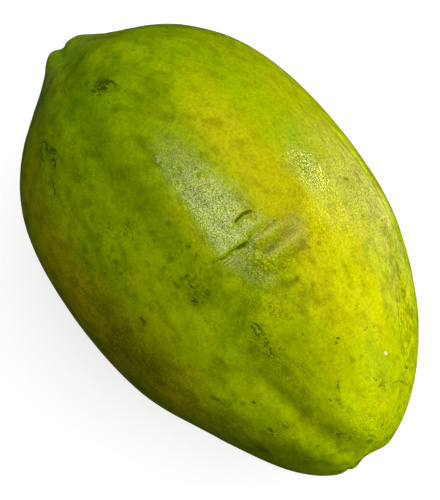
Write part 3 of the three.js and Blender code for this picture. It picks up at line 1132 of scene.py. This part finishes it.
@dataclass(frozen=True)
class WaxyRind:
    """Papaya rind: a thin living skin under a natural wax, grown and not polished.

    The green shows first, then the yellow breaks through in patches. The wax gives a soft satin shine, and
    the fine pores break every reflection into grains. Real pores are finer, and are drawn as coarse as
    they need to be to show.

    Attributes:
        ripening: the colours from deep green to full yellow, each with its place from 0 to 1.
        drifts: the patterns that make the ripening uneven, each with how much it shifts it.
        mottles: the spots in the skin.
        grain: the dark grains that show in wrinkled and pressed skin, over its stains too.
        stains: the colours of pressed, rubbed and scarred rind, with painted shadow in its cuts, a painted
            highlight on its raised welts and flaps, and painted white glints on its pimples.
        ragged: the pattern of the ragged bits at the edge of a stain.
        freckles: the small and the large freckles.
        crowds: the pattern that gathers the freckles.
        crowding: how much the mesh's own numbers add to that pattern.
        crowd_edge: its values between which the freckles fade in.
        crackle: the hair-thin cracks.
        roughness: the roughness of the skin under the wax.
        wax_roughness: the roughness of the wax.
        pores: the pattern of the pores, in which there is no wax.
        pore_edge: its values between which the wax thins out.
        bumps: the patterns of the pores and of the unevenness between them, each with its depth in
            millimetres.
        smooth_wax: the share of that depth that shows in the wax where the skin is smooth.
        grainy: how grainy the skin is where that share starts to grow, and where all of it shows.
    """

    ripening: tuple[tuple[float, str], ...] = (
        (0.0, "#658b00"),
        (0.2, "#80a700"),
        (0.4, "#95b400"),
        (0.6, "#abbf00"),
        (0.8, "#bdc400"),
        (1.0, "#cac500"),
    )
    drifts: tuple[tuple[Cloud, float], ...] = (
        (Cloud(28, 3, 1.3), 0.34),
        (Cloud(9, 4, 1.3), 0.42),
        (Cloud(3.2, 3, 1.5), 0.20),
    )
    mottles: tuple[Mottle, ...] = (
        Mottle(14, 3, 1.3, (0.46, 0.70), "#d5d9b0", "clouds"),
        Mottle(5, 3, 1.4, (0.44, 0.74), "#d1d5ac", "clouds"),
        Mottle(1.4, 2, 1, (0.35, 0.75), "#e4e6ca"),
        Mottle(0.5, 1, 1, (0.30, 0.70), "#e2e4c8"),
        Mottle(1.3, 2, 4.5, (0.42, 0.66), "#c6c994", "streak"),
    )
    grain: Mottle = Mottle(0.6, 1, 1, (0.42, 0.60), "#a0a470", "grain")
    stains: tuple[Stain, ...] = (
        Stain("bloom", 0.5, "#6c7c3a", (0.1, 1.1), 2.0),
        Stain("bruise", 0.5, "#a39c46", (0.1, 1.0), 2.0),
        Stain("scrape", 0.75, "#93a240", (0.2, 0.9), 3.0),
        Stain("line_bruise", 0.7, "#8f9604", (0.0, 0.9), 1.2),
        # Bleached skin, and a painted highlight on the raised welts and flaps.
        Stain("pale", 0.8, "#bfbb54", (0.1, 0.8), 3.5),
        # Dark scar tissue, and painted shadow inside the cuts.
        Stain("cork_and_cut_shadow", 0.92, "#465404", (0.2, 0.6), 3.2),
        # Painted highlight: small white glints on the pimples and bumps.
        Stain("painted_glint", 0.9, "#f4f4e4", (0.3, 0.8), 0.8),
    )
    ragged: Cloud = Cloud(0.7, 2, 1)
    freckles: tuple[Freckles, ...] = (Freckles(3.0, 0.9, "#b0b67c"), Freckles(6.5, 2.6, "#c8cc9c"))
    crowds: Cloud = Cloud(9, 2, 1)
    crowding: float = 0.25
    crowd_edge: tuple[float, float] = (0.52, 0.72)
    crackle: Crackle = Crackle()
    roughness: float = 0.5
    wax_roughness: float = 0.12
    pores: Cloud = Cloud(0.5, 1, 1)
    pore_edge: tuple[float, float] = (0.43, 0.57)
    bumps: tuple[tuple[Cloud, float], ...] = ((Cloud(0.5, 1, 1), 0.1), (Cloud(1.3, 1, 1), 0.02))
    smooth_wax: float = 0.3
    grainy: tuple[float, float] = (0.4, 0.9)

    def material(self) -> bpy.types.Material:
        """Builds the material.

        Returns:
            The finished material.
        """
        material = bpy.data.materials.new("waxed_papaya_rind")
        skin = Skin(material)
        grain = skin.add("Attribute", out="Fac", attribute_name="grain")
        low, high = self.grainy
        inputs = {"Value": grain, "From Min": low, "From Max": high, "To Min": self.smooth_wax, "To Max": 1.0}
        in_wax = skin.add("MapRange", inputs)
        inputs = {
            "Base Color": self.colour(skin),
            "Roughness": self.roughness,
            "Specular IOR Level": 0.0,
            "Coat Weight": self.waxed(skin),
            "Coat Roughness": self.wax_roughness,
            "Normal": self.uneven(skin, 1.0),
            "Coat Normal": self.uneven(skin, in_wax),
        }
        skin.add("OutputMaterial", {"Surface": skin.add("BsdfPrincipled", inputs)})
        return material

    def waxed(self, skin: Skin) -> Socket:
        """Adds the thickness of the wax, from 0 to 1, which is thin in the pores and where it is worn away.

        Args:
            skin: the material's nodes.

        Returns:
            The thickness.
        """
        low, high = self.pore_edge
        wax = skin.add("MapRange", {"Value": self.pores.noise(skin), "From Min": high, "From Max": low})
        left = skin.add("Attribute", out="Fac", attribute_name="wax")
        return skin.add("Math", {0: wax, 1: left}, operation="MULTIPLY", use_clamp=True)

    def uneven(self, skin: Skin, strength: float | Socket) -> Socket:
        """Adds the fine pores and the slight unevenness between them.

        Args:
            skin: the material's nodes.
            strength: how much of them shows, from 0 to 1.

        Returns:
            The normal that they give the skin.
        """
        height = 0.0
        for pattern, depth in self.bumps:
            inputs = {0: pattern.noise(skin), 1: depth, 2: height}
            height = skin.add("Math", inputs, operation="MULTIPLY_ADD")
        return skin.add("Bump", {"Height": height, "Strength": strength, "Distance": MM})

    def colour(self, skin: Skin) -> Socket:
        """Adds the colour of the rind, from its ripeness, its mottling and its marks, scaled by the painted
        light and shade.

        Args:
            skin: the material's nodes.

        Returns:
            The colour.
        """
        ripe = skin.add("Attribute", out="Fac", attribute_name="ripeness")
        for pattern, amount in self.drifts:
            shift = skin.add("Math", {0: pattern.noise(skin), 1: 0.5}, operation="SUBTRACT")
            ripe = skin.add("Math", {0: shift, 1: amount, 2: ripe}, operation="MULTIPLY_ADD")
        colour = skin.add("ValToRGB", {"Fac": ripe})
        stops = colour.node.color_ramp.elements
        while len(stops) < len(self.ripening):
            stops.new(0.5)
        for stop, (position, shade) in zip(stops, self.ripening):
            stop.position, stop.color = position, linear(shade)
        for mottle in self.mottles:
            colour = mottle.lay(skin, colour)
        drifts = self.crowded(skin)
        for freckles in self.freckles:
            colour = freckles.lay(skin, drifts, colour)
        colour = self.crackle.lay(skin, colour)
        # Painted light and shade: the colour is scaled up on the sunny side and ridges, and down in the
        # grooves, creases and on the shaded side.
        lightness_and_painted_light = skin.add("Attribute", out="Fac", attribute_name="lightness_and_painted_light")
        colour = skin.add("VectorMath", {0: colour, "Scale": lightness_and_painted_light}, operation="SCALE")
        ragged = self.ragged.noise(skin)
        for stain in self.stains:
            colour = stain.lay(skin, ragged, colour)
        return self.grain.lay(skin, colour)

    def crowded(self, skin: Skin) -> Socket:
        """Adds the loose drifts that the freckles gather in.

        Args:
            skin: the material's nodes.

        Returns:
            How freckled the skin is, from 0 to 1.
        """
        speckle = skin.add("Attribute", out="Fac", attribute_name="speckle")
        inputs = {0: speckle, 1: self.crowding, 2: self.crowds.noise(skin)}
        crowd = skin.add("Math", inputs, operation="MULTIPLY_ADD")
        inputs = {"Value": crowd, "From Min": self.crowd_edge[0], "From Max": self.crowd_edge[1]}
        return skin.add("MapRange", inputs, interpolation_type="SMOOTHSTEP")


# ---- The studio ----


class Reach(Enum):
    """What a lamp does to the fruit."""

    LIGHT = "lights it"
    SHINE = "shows as a reflection in its wax"


@dataclass(frozen=True)
class Lamp:
    """A soft rectangular lamp, one metre from the fruit.

    Attributes:
        name: its name.
        lean: how far it leans towards the blossom end, in degrees.
        turn: how far it is turned around the fruit, in degrees from straight up.
        size: its sides, in metres, along the fruit and around it.
        power: its power, in watts.
        reach: what it does to the fruit.
        colour: its colour.
        fades: the shares of its size over which it fades out, at its stem and blossom ends, and on its
            sides of smaller and larger turn.
        taper: the share of its width that it loses towards its stem end.
        roll: how far it is turned about its own middle, in degrees.
    """

    name: str
    lean: float
    turn: float
    size: tuple[float, float]
    power: float
    reach: Reach
    colour: str = "#ffffff"
    fades: tuple[float, float, float, float] = (0.0, 0.0, 0.0, 0.0)
    taper: float = 0.0
    roll: float = 0.0

    def build(self, aim: Vector) -> None:
        """Adds the lamp to the scene.

        Args:
            aim: the point that it lights.
        """
        data = bpy.data.lights.new(self.name, "AREA")
        data.shape = "RECTANGLE"
        data.size, data.size_y = self.size
        data.energy = self.power
        data.color = linear(self.colour)[:3]
        if any(self.fades):
            self.add_fades(data)
        lamp = bpy.data.objects.new(self.name, data)
        lean, turn = math.radians(self.lean), math.radians(self.turn)
        back = Vector((math.sin(lean), math.cos(lean) * math.sin(turn), math.cos(lean) * math.cos(turn)))
        around = back.cross(Vector((1.0, 0.0, 0.0))).normalized()
        upright = placed(around.cross(back), around, back, aim + back)
        lamp.matrix_world = upright @ Matrix.Rotation(math.radians(self.roll), 4, "Z")
        lamp.visible_diffuse = self.reach is Reach.LIGHT
        lamp.visible_glossy = self.reach is Reach.SHINE
        bpy.context.scene.collection.objects.link(lamp)

    def add_fades(self, data: bpy.types.AreaLight) -> None:
        """Makes the lamp fade out towards its sides.

        Args:
            data: the lamp's data.
        """
        nodes = Nodes(data)
        place = nodes.add("NewGeometry", out="Parametric")
        along, around = (nodes.add("SeparateXYZ", {0: place}, out) for out in (0, 1))
        width = nodes.add("MapRange", {"Value": along, "To Min": 1.0 - self.taper, "To Max": 1.0})
        off = nodes.add("Math", {0: around, 1: 0.5}, operation="SUBTRACT")
        off = nodes.add("Math", {0: off, 1: width}, operation="DIVIDE")
        around = nodes.add("Math", {0: off, 1: 0.5}, operation="ADD")
        strength = 1.0
        for across, side, fade in zip((along, along, around, around), (0, 1, 0, 1), self.fades):
            inputs = {"Value": across, "From Min": side, "From Max": abs(side - fade)}
            share = nodes.add("MapRange", inputs, interpolation_type="SMOOTHSTEP")
            strength = nodes.add("Math", {0: strength, 1: share}, operation="MULTIPLY")
        nodes.add("OutputLight", {"Surface": nodes.add("Emission", {"Strength": strength})})


def placed(right: Vector, up: Vector, back: Vector, place: Vector) -> Matrix:
    """The matrix of something at a place, with its own X, Y and Z pointing right, up and back."""
    turned = Matrix((right, up, back)).transposed()
    return Matrix.Translation(place) @ turned.to_4x4()


@dataclass
class Studio:
    """A pale floor, soft light and the camera.

    Attributes:
        azimuth: which way the camera looks, in degrees, from along +Y towards -X.
        elevation: how steeply it looks down, in degrees.
        distance: how far it is from the fruit, in metres.
        aim: the point of the fruit that it looks near.
        focal_length: its focal length, in pixels of the image.
        off_centre: how far right of and below the image's centre the aim shows, in pixels.
        nearest: how near the camera sees, in metres.
        sky: how bright the room is, as it lights the fruit and as it shows in the wax.
        backdrop: how bright it is behind the fruit.
        floor_size: the side of the floor, in metres.
        floor_colour: its colour.
        floor_glow: how much light it gives off, so that it looks almost white.
        lamps: the lamps.
    """

    azimuth: float = 52.8
    elevation: float = 75.0
    distance: float = 0.55
    aim: Vector = field(default_factory=lambda: Vector((0.0, 0.0, 0.066)))
    focal_length: float = 1289.0
    off_centre: tuple[float, float] = (0.7, -8.0)
    nearest: float = 0.01
    sky: tuple[float, float] = (0.15, 0.01)
    backdrop: float = 0.9
    floor_size: float = 4.0
    floor_colour: str = "#b4b4b2"
    floor_glow: float = 0.74
    lamps: tuple[Lamp, ...] = (
        Lamp("overhead", 1, 24, (1.5, 1.5), 14.2, Reach.LIGHT),
        Lamp("side", 50, 82, (0.6, 0.6), 10.6, Reach.LIGHT),
        Lamp(
            "window", -13.7, 1.9, (0.86, 0.874), 16.2, Reach.SHINE, "#fbfaf0", (0.66, 0.12, 0.02, 0.35),
            taper=0.68, roll=7,
        ),
        Lamp("spark", -5, 73.5, (0.06, 0.07), 0.85, Reach.SHINE, "#fffaea"),
        Lamp("sheen", 5, 97, (0.9, 1.7), 15, Reach.SHINE, "#fff0c0", (0.5, 0.5, 0.12, 0.3)),
    )

    def build(self) -> None:
        """Adds the camera, the lamps, the room and the floor."""
        self.add_camera()
        for lamp in self.lamps:
            lamp.build(self.aim)
        self.add_room()
        self.add_floor()

    def add_camera(self) -> None:
        """Places the camera so that the fruit fills the frame."""
        azimuth, elevation = math.radians(self.azimuth), math.radians(self.elevation)
        level = Vector((math.sin(azimuth), -math.cos(azimuth), 0.0))
        back = level * math.cos(elevation) + Vector((0.0, 0.0, math.sin(elevation)))
        right = Vector((math.cos(azimuth), math.sin(azimuth), 0.0))
        up = back.cross(right)
        aside = (right * self.off_centre[0] + up * -self.off_centre[1]) * self.distance / self.focal_length
        data = bpy.data.cameras.new("camera")
        data.lens = self.focal_length * data.sensor_width / IMAGE_LONG_SIDE
        data.clip_start = self.nearest
        camera = bpy.data.objects.new("camera", data)
        camera.matrix_world = placed(right, up, back, self.aim - aside + back * self.distance)
        bpy.context.scene.collection.objects.link(camera)
        bpy.context.scene.camera = camera

    def add_room(self) -> None:
        """Adds an even, dim light from all round, and keeps it low in the wax so that the skin stays rich."""
        world = bpy.data.worlds.new("room")
        bpy.context.scene.world = world
        bpy.context.scene.view_settings.view_transform = "Standard"
        nodes = Nodes(world)
        shine = nodes.add("LightPath", out="Is Glossy Ray")
        behind = nodes.add("LightPath", out="Is Camera Ray")
        strength = nodes.add("MapRange", {"Value": shine, "To Min": self.sky[0], "To Max": self.sky[1]})
        strength = nodes.add("MapRange", {"Value": behind, "To Min": strength, "To Max": self.backdrop})
        sky = nodes.add("Background", {"Color": linear("#ffffff"), "Strength": strength})
        nodes.add("OutputWorld", {"Surface": sky})

    def add_floor(self) -> None:
        """Adds a matt, almost white floor of paper, which gives the eye no shine."""
        bpy.ops.mesh.primitive_plane_add(size=self.floor_size)
        floor = bpy.context.active_object
        floor.name = "floor"
        material = bpy.data.materials.new("matt_white_paper")
        nodes = Nodes(material)
        inputs = {
            "Base Color": linear(self.floor_colour),
            "Roughness": 0.9,
            "Specular IOR Level": 0.0,
            "Emission Color": linear("#ffffff"),
            "Emission Strength": self.floor_glow,
        }
        nodes.add("OutputMaterial", {"Surface": nodes.add("BsdfPrincipled", inputs)})
        floor.data.materials.append(material)
        floor.visible_glossy = False
        floor.visible_diffuse = False


def main() -> None:
    """Builds the studio and the fruit."""
    logging.basicConfig(level=logging.INFO, format="%(name)s: %(message)s")
    Studio().build()
    rind = Rind().build()
    rind.data.materials.append(WaxyRind().material())
    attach(rind, BODY)
    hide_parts(NODE)
    triangles = sum(len(face.vertices) - 2 for face in rind.data.polygons)
    LOG.info("%s: %d triangles", rind.name, triangles)


if __name__ == "__main__":
    main()
